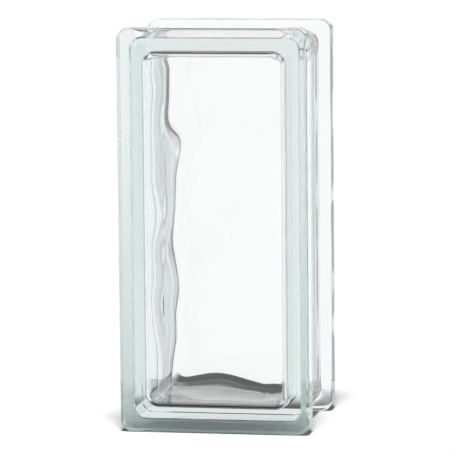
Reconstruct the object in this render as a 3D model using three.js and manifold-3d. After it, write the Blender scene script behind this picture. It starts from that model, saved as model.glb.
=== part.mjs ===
// Hollow glass block of half width, standing on its short end.
//
// Two shells are pressed from glass and fused rim to rim while they are hot. Each shell is a dish:
// a flat face with rounded edges, a flange round the face, four side walls set back from the
// flange, and a cavity whose floor is pressed with shallow waves. The flanges stand proud of the
// walls, and the channel between them round the four sides is the key that mortar fills.
//
// Units are millimetres. +Z is up, the front face looks along -Y and the seam lies in the plane
// Y = 0. The origin is the middle of the block's underside.

import * as THREE from 'three';
import { mergeVertices } from 'three/addons/utils/BufferGeometryUtils.js';
import Module from 'manifold-3d';

const wasm = await Module();
wasm.setup();

// Overall size
const BLOCK_WIDTH = 90;
const BLOCK_HEIGHT = 190;
const BLOCK_DEPTH = 80;

// Face and flange
const FACE_CORNER_RADIUS = 5;
const FACE_EDGE_RADIUS = 2;
const FLANGE_WIDTH = 12;
const FLANGE_LIP_ROUND = 0.8;

// Mortar key: the channel between the flanges, round the four sides
const KEY_DEPTH = 5.3;
const KEY_SHOULDER_RUN = 1;
const KEY_FOOT_ROUND = 1.2;

// Fused seam: a low bead outside and inside the wall
const SEAM_BEAD_HEIGHT = 0.4;
const SEAM_BEAD_WIDTH = 5;

// Glass and cavity. The wall thickens from the seam to the face, first by its draft, then by a
// short taper and a chamfer at the floor.
const WALL_THICKNESS = 4.8;
const WALL_DRAFT = THREE.MathUtils.degToRad(1.3);
const TAPER_RUN = 4;
const TAPER_RISE = 0.3;
const FLOOR_CHAMFER = 2;
const FACE_THICKNESS = 8;
const CAVITY_CORNER_RADIUS = 6;

// Waves pressed into the cavity floor. Height is from trough to crest, heading is the way across
// the crests in degrees from +X towards +Z, and shift slides the wave along its heading. The crests
// wander by bend to each side, once in each bendLength, and bendShift slides that along the crest.
const WAVES = [
  { height: 0.7, length: 37, heading: 115, shift: 46.8, bend: 8, bendLength: 58, bendShift: -42 },
  { height: 0.95, length: 39.5, heading: 153.5, shift: 38.4, bend: 6.5, bendLength: 120, bendShift: -2 },
  { height: 1.8, length: 59.3, heading: 2.2, shift: -50.6, bend: 8, bendLength: 53, bendShift: -53.5 },
  { height: 1.1, length: 48.2, heading: 68.5, shift: -57.2, bend: 3.6, bendLength: 35, bendShift: -10 },
];
const WAVE_FADE = 5; // the waves die out over this distance from the edge of the floor

// Fineness of the facets
const CORNER_STEPS = 6;
const ROUND_STEPS = 3;
const FLOOR_CELL = 4.5;
const CUT_OVERRUN = 1;

// Sections are drawn square to the face: x is the distance in from the flange's side and y is the
// distance back from the face.
const SEAM = BLOCK_DEPTH / 2;
const CAVITY_INSET = KEY_DEPTH + WALL_THICKNESS;

function shellSection() {
  const radius = FACE_EDGE_RADIUS;
  const slope = new THREE.Vector2(KEY_DEPTH, KEY_SHOULDER_RUN).normalize();
  const lip = new THREE.Vector2(0, FLANGE_WIDTH);
  const lipEnd = lip.clone().addScaledVector(slope, FLANGE_LIP_ROUND);
  const foot = new THREE.Vector2(KEY_DEPTH, FLANGE_WIDTH + KEY_SHOULDER_RUN);
  const footStart = foot.clone().addScaledVector(slope, -KEY_FOOT_ROUND);
  const beadTop = KEY_DEPTH - SEAM_BEAD_HEIGHT;
  const section = new THREE.Path();
  section.absarc(radius, radius, radius, -Math.PI / 2, -Math.PI, true);
  section.lineTo(lip.x, lip.y - FLANGE_LIP_ROUND);
  section.quadraticCurveTo(lip.x, lip.y, lipEnd.x, lipEnd.y);
  section.lineTo(footStart.x, footStart.y);
  section.quadraticCurveTo(foot.x, foot.y, foot.x, foot.y + KEY_FOOT_ROUND);
  section.lineTo(KEY_DEPTH, SEAM - SEAM_BEAD_WIDTH / 2);
  section.quadraticCurveTo(beadTop, SEAM - SEAM_BEAD_WIDTH / 4, beadTop, SEAM);
  return section.getPoints(ROUND_STEPS);
}

// The cavity's section runs from the edge of its floor to just past the seam, so that the cut goes
// clear through the shell's rim.
function cavitySection() {
  const wallTop = SEAM - SEAM_BEAD_WIDTH / 2;
  const chamfer = FACE_THICKNESS + FLOOR_CHAMFER;
  const taper = chamfer + TAPER_RUN;
  const taperInset = CAVITY_INSET + (wallTop - taper) * Math.tan(WALL_DRAFT);
  const chamferInset = taperInset + TAPER_RISE;
  const beadTop = CAVITY_INSET + SEAM_BEAD_HEIGHT;
  const section = new THREE.Path();
  section.moveTo(chamferInset + FLOOR_CHAMFER, FACE_THICKNESS);
  section.lineTo(chamferInset, chamfer);
  section.lineTo(taperInset, taper);
  section.lineTo(CAVITY_INSET, wallTop);
  section.quadraticCurveTo(beadTop, SEAM - SEAM_BEAD_WIDTH / 4, beadTop, SEAM);
  section.lineTo(beadTop, SEAM + CUT_OVERRUN);
  return section.getPoints(ROUND_STEPS);
}

// Radius of the shell's corners, seen from the front, at a place on its section
function shellCornerRadius(place) {
  if (place.y < FACE_EDGE_RADIUS) {
    return Math.max(FACE_CORNER_RADIUS - place.x, 0);
  }
  return FACE_CORNER_RADIUS;
}

// One ring of a shell: the block's outline drawn in by the inset, with round corners, as points
// that run anticlockwise seen from the front. Its straight runs may be cut into cells.
function ring(inset, back, cornerRadius, uprightCells = 1, levelCells = 1) {
  const halfWidth = BLOCK_WIDTH / 2 - inset;
  const halfHeight = BLOCK_HEIGHT / 2 - inset;
  const radius = Math.min(cornerRadius, halfWidth, halfHeight);
  const reachX = halfWidth - radius;
  const reachZ = halfHeight - radius;
  const centres = [
    new THREE.Vector2(reachX, reachZ),
    new THREE.Vector2(-reachX, reachZ),
    new THREE.Vector2(-reachX, -reachZ),
    new THREE.Vector2(reachX, -reachZ),
  ];
  const points = [];
  const addPoint = (centre, quarters) => {
    const angle = quarters * Math.PI / 2;
    const x = centre.x + radius * Math.cos(angle);
    const z = centre.y + radius * Math.sin(angle);
    points.push(new THREE.Vector3(x, back - SEAM, BLOCK_HEIGHT / 2 + z));
  };
  centres.forEach((centre, corner) => {
    for (let step = 0; step <= CORNER_STEPS; step += 1) {
      addPoint(centre, corner + step / CORNER_STEPS);
    }
    const next = centres[(corner + 1) % centres.length];
    const cells = corner % 2 === 0 ? levelCells : uprightCells;
    for (let cell = 1; cell < cells; cell += 1) {
      addPoint(centre.clone().lerp(next, cell / cells), corner + 1);
    }
  });
  return points;
}

// Height of the pressed waves over the floor at a point, before they fade at the floor's edge
function waveRise(point) {
  let rise = 0;
  for (const wave of WAVES) {
    const heading = THREE.MathUtils.degToRad(wave.heading);
    const across = point.x * Math.cos(heading) + point.z * Math.sin(heading) - wave.shift;
    const along = point.z * Math.cos(heading) - point.x * Math.sin(heading) - wave.bendShift;
    const bend = wave.bend * Math.sin(2 * Math.PI * along / wave.bendLength);
    rise += (wave.height / 2) * Math.sin(2 * Math.PI * (across + bend) / wave.length);
  }
  return rise;
}

// Rings of the cavity from the middle line of its floor, out over the waves, round the edge of the
// floor and up the walls
function cavityRings() {
  const section = cavitySection();
  const edge = section[0];
  const reach = BLOCK_WIDTH / 2 - edge.x;
  const levelCells = Math.ceil(2 * reach / FLOOR_CELL);
  const uprightCells = Math.ceil((BLOCK_HEIGHT - 2 * edge.x) / FLOOR_CELL);
  const floorSteps = Math.ceil(reach / FLOOR_CELL);
  const rings = [];
  for (let step = 0; step < floorSteps; step += 1) {
    const share = step / floorSteps;
    const fromEdge = reach * (1 - share);
    const fade = THREE.MathUtils.smoothstep(fromEdge, 0, WAVE_FADE);
    const cornerRadius = CAVITY_CORNER_RADIUS * share;
    const points = ring(edge.x + fromEdge, FACE_THICKNESS, cornerRadius, uprightCells, levelCells);
    points.forEach((point) => {
      point.y += fade * waveRise(point);
    });
    rings.push(points);
  }
  for (const place of section) {
    rings.push(ring(place.x, place.y, CAVITY_CORNER_RADIUS, uprightCells, levelCells));
  }
  return rings;
}

// A closed solid skinned over a row of rings with equally many points, flat at both ends
function loft(rings) {
  const count = rings[0].length;
  const points = rings.flat();
  const index = [];
  const addFan = (first, last, flip) => {
    const centre = points.length;
    const middle = new THREE.Vector3();
    rings[last].forEach((point) => middle.addScaledVector(point, 1 / count));
    points.push(middle);
    for (let i = 0; i < count; i += 1) {
      const here = first + i;
      const next = first + (i + 1) % count;
      index.push(centre, flip ? next : here, flip ? here : next);
    }
  };
  for (let row = 0; row < rings.length - 1; row += 1) {
    for (let i = 0; i < count; i += 1) {
      const here = row * count + i;
      const next = row * count + (i + 1) % count;
      index.push(here, here + count, next);
      index.push(next, here + count, next + count);
    }
  }
  addFan(0, 0, false);
  addFan((rings.length - 1) * count, rings.length - 1, true);
  const geometry = new THREE.BufferGeometry().setFromPoints(points);
  geometry.setIndex(index);
  return solidFrom(geometry);
}

// Solids for cutting are merged meshes without the triangles that shrank to nothing
function solidFrom(geometry) {
  const merged = mergeVertices(geometry, 1e-5);
  const corners = merged.index.array;
  const kept = [];
  for (let i = 0; i < corners.length; i += 3) {
    const [a, b, c] = corners.slice(i, i + 3);
    if (a !== b && b !== c && c !== a) {
      kept.push(a, b, c);
    }
  }
  return new wasm.Manifold(new wasm.Mesh({
    numProp: 3,
    vertProperties: new Float32Array(merged.attributes.position.array),
    triVerts: new Uint32Array(kept),
  }));
}

function geometryFrom(solid) {
  const mesh = solid.getMesh();
  const geometry = new THREE.BufferGeometry();
  geometry.setAttribute('position', new THREE.BufferAttribute(mesh.vertProperties, mesh.numProp));
  geometry.setIndex(new THREE.BufferAttribute(mesh.triVerts, 1));
  geometry.computeVertexNormals();
  return geometry;
}

// The pressed shell in its place at the front: the solid pressing less its cavity
function pressedShell() {
  const rings = shellSection().map((place) => ring(place.x, place.y, shellCornerRadius(place)));
  const pressing = loft(rings);
  const cavity = loft(cavityRings());
  return geometryFrom(pressing.subtract(cavity));
}

const glass = new THREE.MeshStandardMaterial({
  name: 'pressed_glass',
  color: 0xe4f0ee,
  roughness: 0.03,
  metalness: 0,
  transparent: true,
  opacity: 0.35,
});

const shell = pressedShell();

const frontHalf = new THREE.Mesh(shell, glass);
frontHalf.name = 'front_half';

const backHalf = new THREE.Mesh(shell, glass);
backHalf.name = 'back_half';
backHalf.rotation.z = Math.PI;

const block = new THREE.Group();
block.name = 'glass_block';
block.add(frontHalf, backHalf);

export default block;
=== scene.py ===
import math

import bmesh
import bpy
from mathutils import Matrix, Vector


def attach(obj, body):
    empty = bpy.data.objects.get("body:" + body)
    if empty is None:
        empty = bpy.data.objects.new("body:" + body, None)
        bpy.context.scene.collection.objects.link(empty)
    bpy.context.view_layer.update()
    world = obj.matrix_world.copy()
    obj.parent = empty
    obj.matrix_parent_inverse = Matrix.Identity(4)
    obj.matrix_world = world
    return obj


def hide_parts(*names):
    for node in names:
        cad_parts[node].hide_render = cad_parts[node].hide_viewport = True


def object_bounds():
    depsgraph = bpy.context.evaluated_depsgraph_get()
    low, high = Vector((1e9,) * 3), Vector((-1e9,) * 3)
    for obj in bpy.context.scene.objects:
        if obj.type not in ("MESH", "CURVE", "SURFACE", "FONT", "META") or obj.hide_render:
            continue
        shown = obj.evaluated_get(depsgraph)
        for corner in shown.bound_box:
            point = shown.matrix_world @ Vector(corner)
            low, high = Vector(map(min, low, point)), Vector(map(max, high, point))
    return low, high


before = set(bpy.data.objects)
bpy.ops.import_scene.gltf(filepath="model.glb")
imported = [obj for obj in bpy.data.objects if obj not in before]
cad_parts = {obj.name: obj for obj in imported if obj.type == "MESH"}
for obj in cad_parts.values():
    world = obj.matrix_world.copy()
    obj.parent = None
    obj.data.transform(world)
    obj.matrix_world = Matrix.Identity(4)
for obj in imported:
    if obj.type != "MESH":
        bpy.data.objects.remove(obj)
cad_low, cad_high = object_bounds()

# ---------------------------------------------------------------------------------------------
# The block: two shells of clear soda-lime glass, pressed in a mould and fused rim to rim while
# hot, so that it is one piece with a sealed cavity. A flange stands round each face, and the
# walls between the flanges are set back to make the mortar key.

MM = 0.001
SEGMENTS = 8
SMALL_ROUND_SEGMENTS = 4
SAME_PLACE = 0.01 * MM
SHORTEST_CORNER_EDGE = 0.5 * MM
ALONG_AXIS = 0.999
SHADING_WEIGHT = 100

FACE_CORNER_RADIUS = 5.0 * MM
FACE_EDGE_RADIUS = 2.0 * MM
FLANGE_WIDTH = 12.0 * MM
FLANGE_LIP_ROUND = 0.8 * MM
KEY_DEPTH = 5.3 * MM
KEY_SHOULDER_RUN = 1.0 * MM
KEY_FOOT_ROUND = 1.2 * MM
SEAM_BEAD_HEIGHT = 0.4 * MM
SEAM_BEAD_WIDTH = 5.0 * MM
WALL_THICKNESS = 4.8 * MM
WALL_DRAFT = math.radians(1.3)
FACE_THICKNESS = 8.0 * MM
CAVITY_CORNER_RADIUS = 6.0 * MM
TAPER_RUN = 4.0 * MM
TAPER_RISE = 0.3 * MM
CHAMFER = 2.0 * MM
CHAMFER_ROUND_FRONT = 1.2 * MM
CHAMFER_ROUND_BACK = 0.3 * MM
FLOOR_CELL = 1.3 * MM

# Waves pressed into each cavity floor. Height is from trough to crest, length from crest to
# crest, and heading the way across the crests, in degrees from +X towards +Z. The crests wander
# by bend to each side, and the shifts slide the wave along its heading and along its crests.
WAVES = (
    {"height": 0.7 * MM, "length": 37 * MM, "heading": 115, "shift": 46.8 * MM,
     "bend": 8 * MM, "bend_length": 58 * MM, "bend_shift": -42 * MM},
    {"height": 0.95 * MM, "length": 39.5 * MM, "heading": 153.5, "shift": 38.4 * MM,
     "bend": 6.5 * MM, "bend_length": 120 * MM, "bend_shift": -2 * MM},
    {"height": 1.8 * MM, "length": 59.3 * MM, "heading": 2.2, "shift": -50.6 * MM,
     "bend": 8 * MM, "bend_length": 53 * MM, "bend_shift": -53.5 * MM},
    {"height": 1.1 * MM, "length": 48.2 * MM, "heading": 68.5, "shift": -57.2 * MM,
     "bend": 3.6 * MM, "bend_length": 35 * MM, "bend_shift": -10 * MM},
)
WAVE_FADE = 5.0 * MM

block_middle = (cad_low + cad_high) / 2
half_width, half_depth, half_height = (cad_high - cad_low) / 2


def new_box(half_size, middle):
    """A plain box in a bmesh of its own."""
    box = bmesh.new()
    place = Matrix.Translation(middle) @ Matrix.Diagonal((*half_size, 1))
    bmesh.ops.create_cube(box, size=2, matrix=place)
    return box


def cut_across(body, *places):
    """Cuts an edge loop round the body at each place along Y."""
    for y in places:
        everything = body.verts[:] + body.edges[:] + body.faces[:]
        bmesh.ops.bisect_plane(body, geom=everything, plane_co=(0, y, 0), plane_no=(0, 1, 0))


def draw_in(verts, amount):
    """Moves the corners of a loop towards the block's middle line."""
    for vert in verts:
        vert.co.x -= math.copysign(amount, vert.co.x)
        vert.co.z -= math.copysign(amount, vert.co.z - block_middle.z)


def loop_at(body, *places):
    """The edges that lie in the planes at these places along Y."""
    def lies_on(edge, y):
        return all(abs(vert.co.y - y) < SAME_PLACE for vert in edge.verts)
    return [edge for edge in body.edges if any(lies_on(edge, y) for y in places)]


def verts_at(body, *places):
    """The corners that lie in the planes at these places along Y."""
    return [vert for vert in body.verts if any(abs(vert.co.y - y) < SAME_PLACE for y in places)]


def corner_edges(body):
    """The edges along the block's four corners, which run from face to face."""
    def runs_back(edge):
        return abs(edge.verts[0].co.y - edge.verts[1].co.y) > SHORTEST_CORNER_EDGE
    return [edge for edge in body.edges if runs_back(edge)]


def round_edges(body, edges, radius, segments=SEGMENTS):
    bmesh.ops.bevel(
        body, geom=edges, offset=radius, offset_type="OFFSET", segments=segments,
        profile=0.5, affect="EDGES", material=-1, loop_slide=True, clamp_overlap=True,
    )


# the outside
lip = half_depth - FLANGE_WIDTH
foot = lip - KEY_SHOULDER_RUN
bead = SEAM_BEAD_WIDTH / 2
outside = new_box((half_width, half_depth, half_height), block_middle)
cut_across(outside, -lip, -foot, -bead, 0, bead, foot, lip)
draw_in(verts_at(outside, -foot, -bead, bead, foot), KEY_DEPTH)
draw_in(verts_at(outside, 0), KEY_DEPTH - SEAM_BEAD_HEIGHT)
round_edges(outside, corner_edges(outside), FACE_CORNER_RADIUS)
round_edges(outside, loop_at(outside, -half_depth, half_depth), FACE_EDGE_RADIUS)
round_edges(outside, loop_at(outside, -lip, lip), FLANGE_LIP_ROUND)
round_edges(outside, loop_at(outside, -foot, foot), KEY_FOOT_ROUND)
round_edges(outside, loop_at(outside, 0), bead / 2, SMALL_ROUND_SEGMENTS)
bmesh.ops.recalc_face_normals(outside, faces=outside.faces[:])

# the cavity, rounded all round, with its two floors cut into a fine grid for the waves
inset = KEY_DEPTH + WALL_THICKNESS
floor = half_depth - FACE_THICKNESS
cavity = new_box((half_width - inset, floor, half_height - inset), block_middle)
chamfer = floor - CHAMFER
taper = chamfer - TAPER_RUN
cut_across(cavity, -chamfer, -taper, -bead, 0, bead, taper, chamfer)
taper_inset = (taper - bead) * math.tan(WALL_DRAFT)
draw_in(verts_at(cavity, -taper, taper), taper_inset)
draw_in(verts_at(cavity, -chamfer, chamfer), taper_inset + TAPER_RISE)
draw_in(verts_at(cavity, -floor, floor), taper_inset + TAPER_RISE + CHAMFER)
draw_in(verts_at(cavity, 0), SEAM_BEAD_HEIGHT)
round_edges(cavity, corner_edges(cavity), CAVITY_CORNER_RADIUS)
round_edges(cavity, loop_at(cavity, -floor, -chamfer), CHAMFER_ROUND_FRONT, SMALL_ROUND_SEGMENTS)
round_edges(cavity, loop_at(cavity, chamfer, floor), CHAMFER_ROUND_BACK, SMALL_ROUND_SEGMENTS)


def straight_edges(body, axis, longer_than):
    """The long edges that run along one axis."""
    found = []
    for edge in body.edges:
        run = edge.verts[1].co - edge.verts[0].co
        if run.length > longer_than and abs(run.normalized()[axis]) > ALONG_AXIS:
            found.append(edge)
    return found


for axis, half_run in ((0, half_width - inset), (2, half_height - inset)):
    cuts = int(2 * (half_run - CAVITY_CORNER_RADIUS) / FLOOR_CELL)
    runs = straight_edges(cavity, axis, half_run)
    bmesh.ops.subdivide_edges(cavity, edges=runs, cuts=cuts, use_grid_fill=True)


def wave_rise(x, z):
    """Height of the pressed waves at a place on a cavity floor."""
    rise = 0.0
    for wave in WAVES:
        heading = math.radians(wave["heading"])
        across = x * math.cos(heading) + z * math.sin(heading) - wave["shift"]
        along = z * math.cos(heading) - x * math.sin(heading) - wave["bend_shift"]
        bend = wave["bend"] * math.sin(2 * math.pi * along / wave["bend_length"])
        rise += wave["height"] / 2 * math.sin(2 * math.pi * (across + bend) / wave["length"])
    return rise


def fade(distance):
    """How much of the waves is left at this distance from the edge of the floor."""
    share = min(max(distance / WAVE_FADE, 0.0), 1.0)
    return share * share * (3 - 2 * share)


for side in (-1, 1):
    floor_verts = verts_at(cavity, side * floor)
    edge_x = max(vert.co.x for vert in floor_verts)
    edge_z = max(vert.co.z for vert in floor_verts) - block_middle.z
    for vert in floor_verts:
        x, z = vert.co.x, vert.co.z
        distance = min(edge_x - abs(x), edge_z - abs(z - block_middle.z))
        vert.co.y -= side * fade(distance) * wave_rise(-side * x, z)
bmesh.ops.recalc_face_normals(cavity, faces=cavity.faces[:])
bmesh.ops.reverse_faces(cavity, faces=cavity.faces[:])

# both skins in one piece of glass
cavity_skin = bpy.data.meshes.new("cavity_skin")
cavity.to_mesh(cavity_skin)
cavity.free()
outside.from_mesh(cavity_skin)
bpy.data.meshes.remove(cavity_skin)
for face in outside.faces:
    face.smooth = True
block_mesh = bpy.data.meshes.new("glass_block")
outside.to_mesh(block_mesh)
outside.free()
block = bpy.data.objects.new("glass_block", block_mesh)
bpy.context.scene.collection.objects.link(block)
evened = block.modifiers.new("even_shading", "WEIGHTED_NORMAL")
evened.mode = "FACE_AREA"
evened.weight = SHADING_WEIGHT

# The glass is clear and faintly green through its thickness, with the slight ripple of a pressing.
# The mortar key is a little matt. A thin grey-green film is put on the side walls, as much at the
# top as at the foot, and on the backs of the side and bottom flanges, more of it low down. It
# shows in full from inside the glass and only faintly from outside, which a real one wouldn't do.
GLASS_TINT = (0.12, 0.33, 0.29, 1)
GLASS_TINT_DENSITY = 4.0
GLASS_IOR = 1.52
NOISE_LOW, NOISE_HIGH = 0.3, 0.7
RIPPLE_PITCH = 11 * MM
RIPPLE_HEIGHT = 0.02 * MM
RIPPLE_DETAIL = 1.0
KEY_ROUGHNESS = 0.1
KEY_UNEVEN_LEAST, KEY_UNEVEN_MOST = 0.6, 1.4
MATT_DETAIL = 3.0
FILM_COLOUR = (0.70, 0.92, 0.92, 1)
FILM_GRAIN = 0.9 * MM
FILM_GRAIN_LEAST, FILM_GRAIN_MOST = 0.88, 1.08
FILM_OVERRUN = 0.4 * MM
FILM_SHARE_LOW = 0.75
FILM_SHARE_HIGH = 0.1
FILM_SHARE_WALL = 0.25
FILM_SHARE_FROM_OUTSIDE = 0.12

glass = bpy.data.materials.new("pressed_glass")
glass.use_nodes = True
nodes = glass.node_tree.nodes
links = glass.node_tree.links


def feed(socket, value):
    """Sets an input to a plain value, or links it to another node's output."""
    if isinstance(value, bpy.types.NodeSocket):
        links.new(value, socket)
    else:
        socket.default_value = value


def math_node(operation, *values):
    node = nodes.new("ShaderNodeMath")
    node.operation = operation
    for socket, value in zip(node.inputs, values):
        feed(socket, value)
    return node.outputs["Value"]


def map_range(value, low, high, to_low, to_high):
    node = nodes.new("ShaderNodeMapRange")
    for name, amount in (
        ("Value", value), ("From Min", low), ("From Max", high),
        ("To Min", to_low), ("To Max", to_high),
    ):
        feed(node.inputs[name], amount)
    return node.outputs["Result"]


def noise(pitch, detail):
    node = nodes.new("ShaderNodeTexNoise")
    links.new(position.outputs["Object"], node.inputs["Vector"])
    node.inputs["Scale"].default_value = 1 / pitch
    node.inputs["Detail"].default_value = detail
    return node.outputs["Fac"]


position = nodes.new("ShaderNodeTexCoord")
axes = nodes.new("ShaderNodeSeparateXYZ")
links.new(position.outputs["Object"], axes.inputs["Vector"])
from_middle = math_node("ABSOLUTE", axes.outputs["Y"])
above_middle = math_node("SUBTRACT", axes.outputs["Z"], block_middle.z)
mid_wall = KEY_DEPTH + WALL_THICKNESS / 2
beside = math_node("GREATER_THAN", math_node("ABSOLUTE", axes.outputs["X"]), half_width - mid_wall)
on_top = math_node("GREATER_THAN", above_middle, half_height - mid_wall)
under = math_node("LESS_THAN", above_middle, mid_wall - half_height)
outer_skin = math_node("MAXIMUM", beside, math_node("MAXIMUM", on_top, under))
in_key = math_node("LESS_THAN", from_middle, lip + FLANGE_LIP_ROUND + FILM_OVERRUN)
past_foot = math_node("GREATER_THAN", from_middle, foot - KEY_FOOT_ROUND)
on_shoulder = math_node("MULTIPLY", in_key, past_foot)
key = math_node("MULTIPLY", outer_skin, in_key)

surface = nodes["Principled BSDF"]
surface.inputs["Base Color"].default_value = (1, 1, 1, 1)
surface.inputs["IOR"].default_value = GLASS_IOR
surface.inputs["Transmission Weight"].default_value = 1.0
patches = noise(RIPPLE_PITCH, MATT_DETAIL)
uneven = map_range(patches, NOISE_LOW, NOISE_HIGH, KEY_UNEVEN_LEAST, KEY_UNEVEN_MOST)
matt = math_node("MULTIPLY", uneven, KEY_ROUGHNESS)
feed(surface.inputs["Roughness"], math_node("MULTIPLY", key, matt))
ripple = nodes.new("ShaderNodeBump")
ripple.inputs["Distance"].default_value = RIPPLE_HEIGHT
feed(ripple.inputs["Height"], noise(RIPPLE_PITCH, RIPPLE_DETAIL))
links.new(ripple.outputs["Normal"], surface.inputs["Normal"])
body_tint = nodes.new("ShaderNodeVolumeAbsorption")
body_tint.inputs["Color"].default_value = GLASS_TINT
body_tint.inputs["Density"].default_value = GLASS_TINT_DENSITY
links.new(body_tint.outputs["Volume"], nodes["Material Output"].inputs["Volume"])

film = nodes.new("ShaderNodeBsdfDiffuse")
film.inputs["Color"].default_value = FILM_COLOUR
lit_through = nodes.new("ShaderNodeBsdfTranslucent")
lit_through.inputs["Color"].default_value = FILM_COLOUR
facing = nodes.new("ShaderNodeNewGeometry")
film_side = nodes.new("ShaderNodeMixShader")
links.new(facing.outputs["Backfacing"], film_side.inputs["Fac"])
links.new(film.outputs["BSDF"], film_side.inputs[1])
links.new(lit_through.outputs["BSDF"], film_side.inputs[2])

low_down = map_range(above_middle, -half_height, half_height, FILM_SHARE_LOW, FILM_SHARE_HIGH)
not_on_top = math_node("MAXIMUM", beside, under)
on_flange = math_node("MULTIPLY", math_node("MULTIPLY", not_on_top, on_shoulder), low_down)
on_wall = math_node("MULTIPLY", math_node("MULTIPLY", in_key, beside), FILM_SHARE_WALL)
film_share = math_node("MAXIMUM", on_flange, on_wall)
specks = noise(FILM_GRAIN, MATT_DETAIL)
grain = map_range(specks, NOISE_LOW, NOISE_HIGH, FILM_GRAIN_LEAST, FILM_GRAIN_MOST)
seen_from = map_range(facing.outputs["Backfacing"], 0, 1, FILM_SHARE_FROM_OUTSIDE, 1)
shown = math_node("MULTIPLY", math_node("MULTIPLY", film_share, grain), seen_from)
coated = nodes.new("ShaderNodeMixShader")
feed(coated.inputs["Fac"], shown)
links.new(surface.outputs["BSDF"], coated.inputs[1])
links.new(film_side.outputs["Shader"], coated.inputs[2])
links.new(coated.outputs["Shader"], nodes["Material Output"].inputs["Surface"])
block_mesh.materials.append(glass)

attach(block, "root")
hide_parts("front_half", "back_half")

# ---------------------------------------------------------------------------------------------
# The studio: a wide pale table in a white surround, which darkens to a nearly black ceiling and
# so gives the glass its dark edges. One wide lamp overhead lights the table and the film, and
# isn't mirrored in the glass.

TABLE_RADIUS = 12.0
TABLE_SEGMENTS = 96
TABLE_COLOUR = (0.93, 0.93, 0.93, 1)
TABLE_ROUGHNESS = 0.9
SURROUND_COLOUR = (1, 1, 1, 1)
CEILING_COLOUR = (0.03, 0.03, 0.03, 1)
CEILING_STARTS = 0.45  # sine of the height above the horizon
CEILING_FULL = 0.7
WORLD_LEVEL_SEEN = 1.0
WORLD_LEVEL_AS_LIGHT = 0.05
LAMP_STRENGTH = 3.58
LAMP_WIDTH = math.radians(10)
LAMP_TILT = math.radians(13)
LAMP_TURN = math.radians(10.9)

table_shape = bmesh.new()
bmesh.ops.create_circle(
    table_shape, cap_ends=True, segments=TABLE_SEGMENTS, radius=TABLE_RADIUS,
)
table_mesh = bpy.data.meshes.new("studio_table")
table_shape.to_mesh(table_mesh)
table_shape.free()
table = bpy.data.objects.new("studio_table", table_mesh)
bpy.context.scene.collection.objects.link(table)
table.location.z = cad_low.z
pale = bpy.data.materials.new("pale_table")
pale.use_nodes = True
pale_surface = pale.node_tree.nodes["Principled BSDF"]
pale_surface.inputs["Base Color"].default_value = TABLE_COLOUR
pale_surface.inputs["Roughness"].default_value = TABLE_ROUGHNESS
table_mesh.materials.append(pale)

world = bpy.data.worlds.new("studio")
bpy.context.scene.world = world
world.use_nodes = True
world_nodes = world.node_tree.nodes
world_links = world.node_tree.links
direction = world_nodes.new("ShaderNodeTexCoord")
split = world_nodes.new("ShaderNodeSeparateXYZ")
ramp = world_nodes.new("ShaderNodeValToRGB")
world_links.new(direction.outputs["Generated"], split.inputs["Vector"])
world_links.new(split.outputs["Z"], ramp.inputs["Fac"])
ramp.color_ramp.elements[0].position = CEILING_STARTS
ramp.color_ramp.elements[0].color = SURROUND_COLOUR
ramp.color_ramp.elements[1].position = CEILING_FULL
ramp.color_ramp.elements[1].color = CEILING_COLOUR
world_links.new(ramp.outputs["Color"], world_nodes["Background"].inputs["Color"])
rays = world_nodes.new("ShaderNodeLightPath")
looked_at = rays.outputs["Is Camera Ray"]
for kind in ("Is Glossy Ray", "Is Transmission Ray"):
    either = world_nodes.new("ShaderNodeMath")
    either.operation = "MAXIMUM"
    world_links.new(looked_at, either.inputs[0])
    world_links.new(rays.outputs[kind], either.inputs[1])
    looked_at = either.outputs["Value"]
level = world_nodes.new("ShaderNodeMapRange")
level.inputs["To Min"].default_value = WORLD_LEVEL_AS_LIGHT
level.inputs["To Max"].default_value = WORLD_LEVEL_SEEN
world_links.new(looked_at, level.inputs["Value"])
world_links.new(level.outputs["Result"], world_nodes["Background"].inputs["Strength"])

lamp_data = bpy.data.lights.new("overhead_light", "SUN")
lamp_data.energy = LAMP_STRENGTH
lamp_data.angle = LAMP_WIDTH
lamp = bpy.data.objects.new("overhead_light", lamp_data)
lamp.rotation_euler = (LAMP_TILT, 0, LAMP_TURN)
lamp.visible_transmission = False
lamp.visible_glossy = False
bpy.context.scene.collection.objects.link(lamp)

# ---------------------------------------------------------------------------------------------
# The camera: a long lens, a little to the right of the block and above it, rolled by half a
# degree, with no shift. A ray of light is followed for seven bounces at most.

CAMERA_AZIMUTH = math.radians(10.89)
CAMERA_ELEVATION = math.radians(6.84)
CAMERA_ROLL = math.radians(-0.53)
CAMERA_DISTANCE = 1.65
CAMERA_AIM = Vector((-0.6, 0, -2.2)) * MM
LENS = 274.6
SENSOR_WIDTH = 36
ALL_BOUNCES = 7
GLASS_BOUNCES = 24

towards_camera = Vector((
    math.sin(CAMERA_AZIMUTH) * math.cos(CAMERA_ELEVATION),
    -math.cos(CAMERA_AZIMUTH) * math.cos(CAMERA_ELEVATION),
    math.sin(CAMERA_ELEVATION),
))
camera_data = bpy.data.cameras.new("camera")
camera_data.lens = LENS
camera_data.sensor_width = SENSOR_WIDTH
camera = bpy.data.objects.new("camera", camera_data)
bpy.context.scene.collection.objects.link(camera)
camera.rotation_mode = "QUATERNION"
camera.location = block_middle + towards_camera * CAMERA_DISTANCE
sight = block_middle + CAMERA_AIM - camera.location
roll = Matrix.Rotation(CAMERA_ROLL, 3, "Z").to_quaternion()
camera.rotation_quaternion = sight.to_track_quat("-Z", "Y") @ roll
bpy.context.scene.camera = camera

cycles = bpy.context.scene.cycles
cycles.max_bounces = ALL_BOUNCES
cycles.transmission_bounces = GLASS_BOUNCES
cycles.glossy_bounces = GLASS_BOUNCES
cycles.caustics_refractive = True
cycles.caustics_reflective = False
bpy.context.scene.view_settings.view_transform = "Standard"
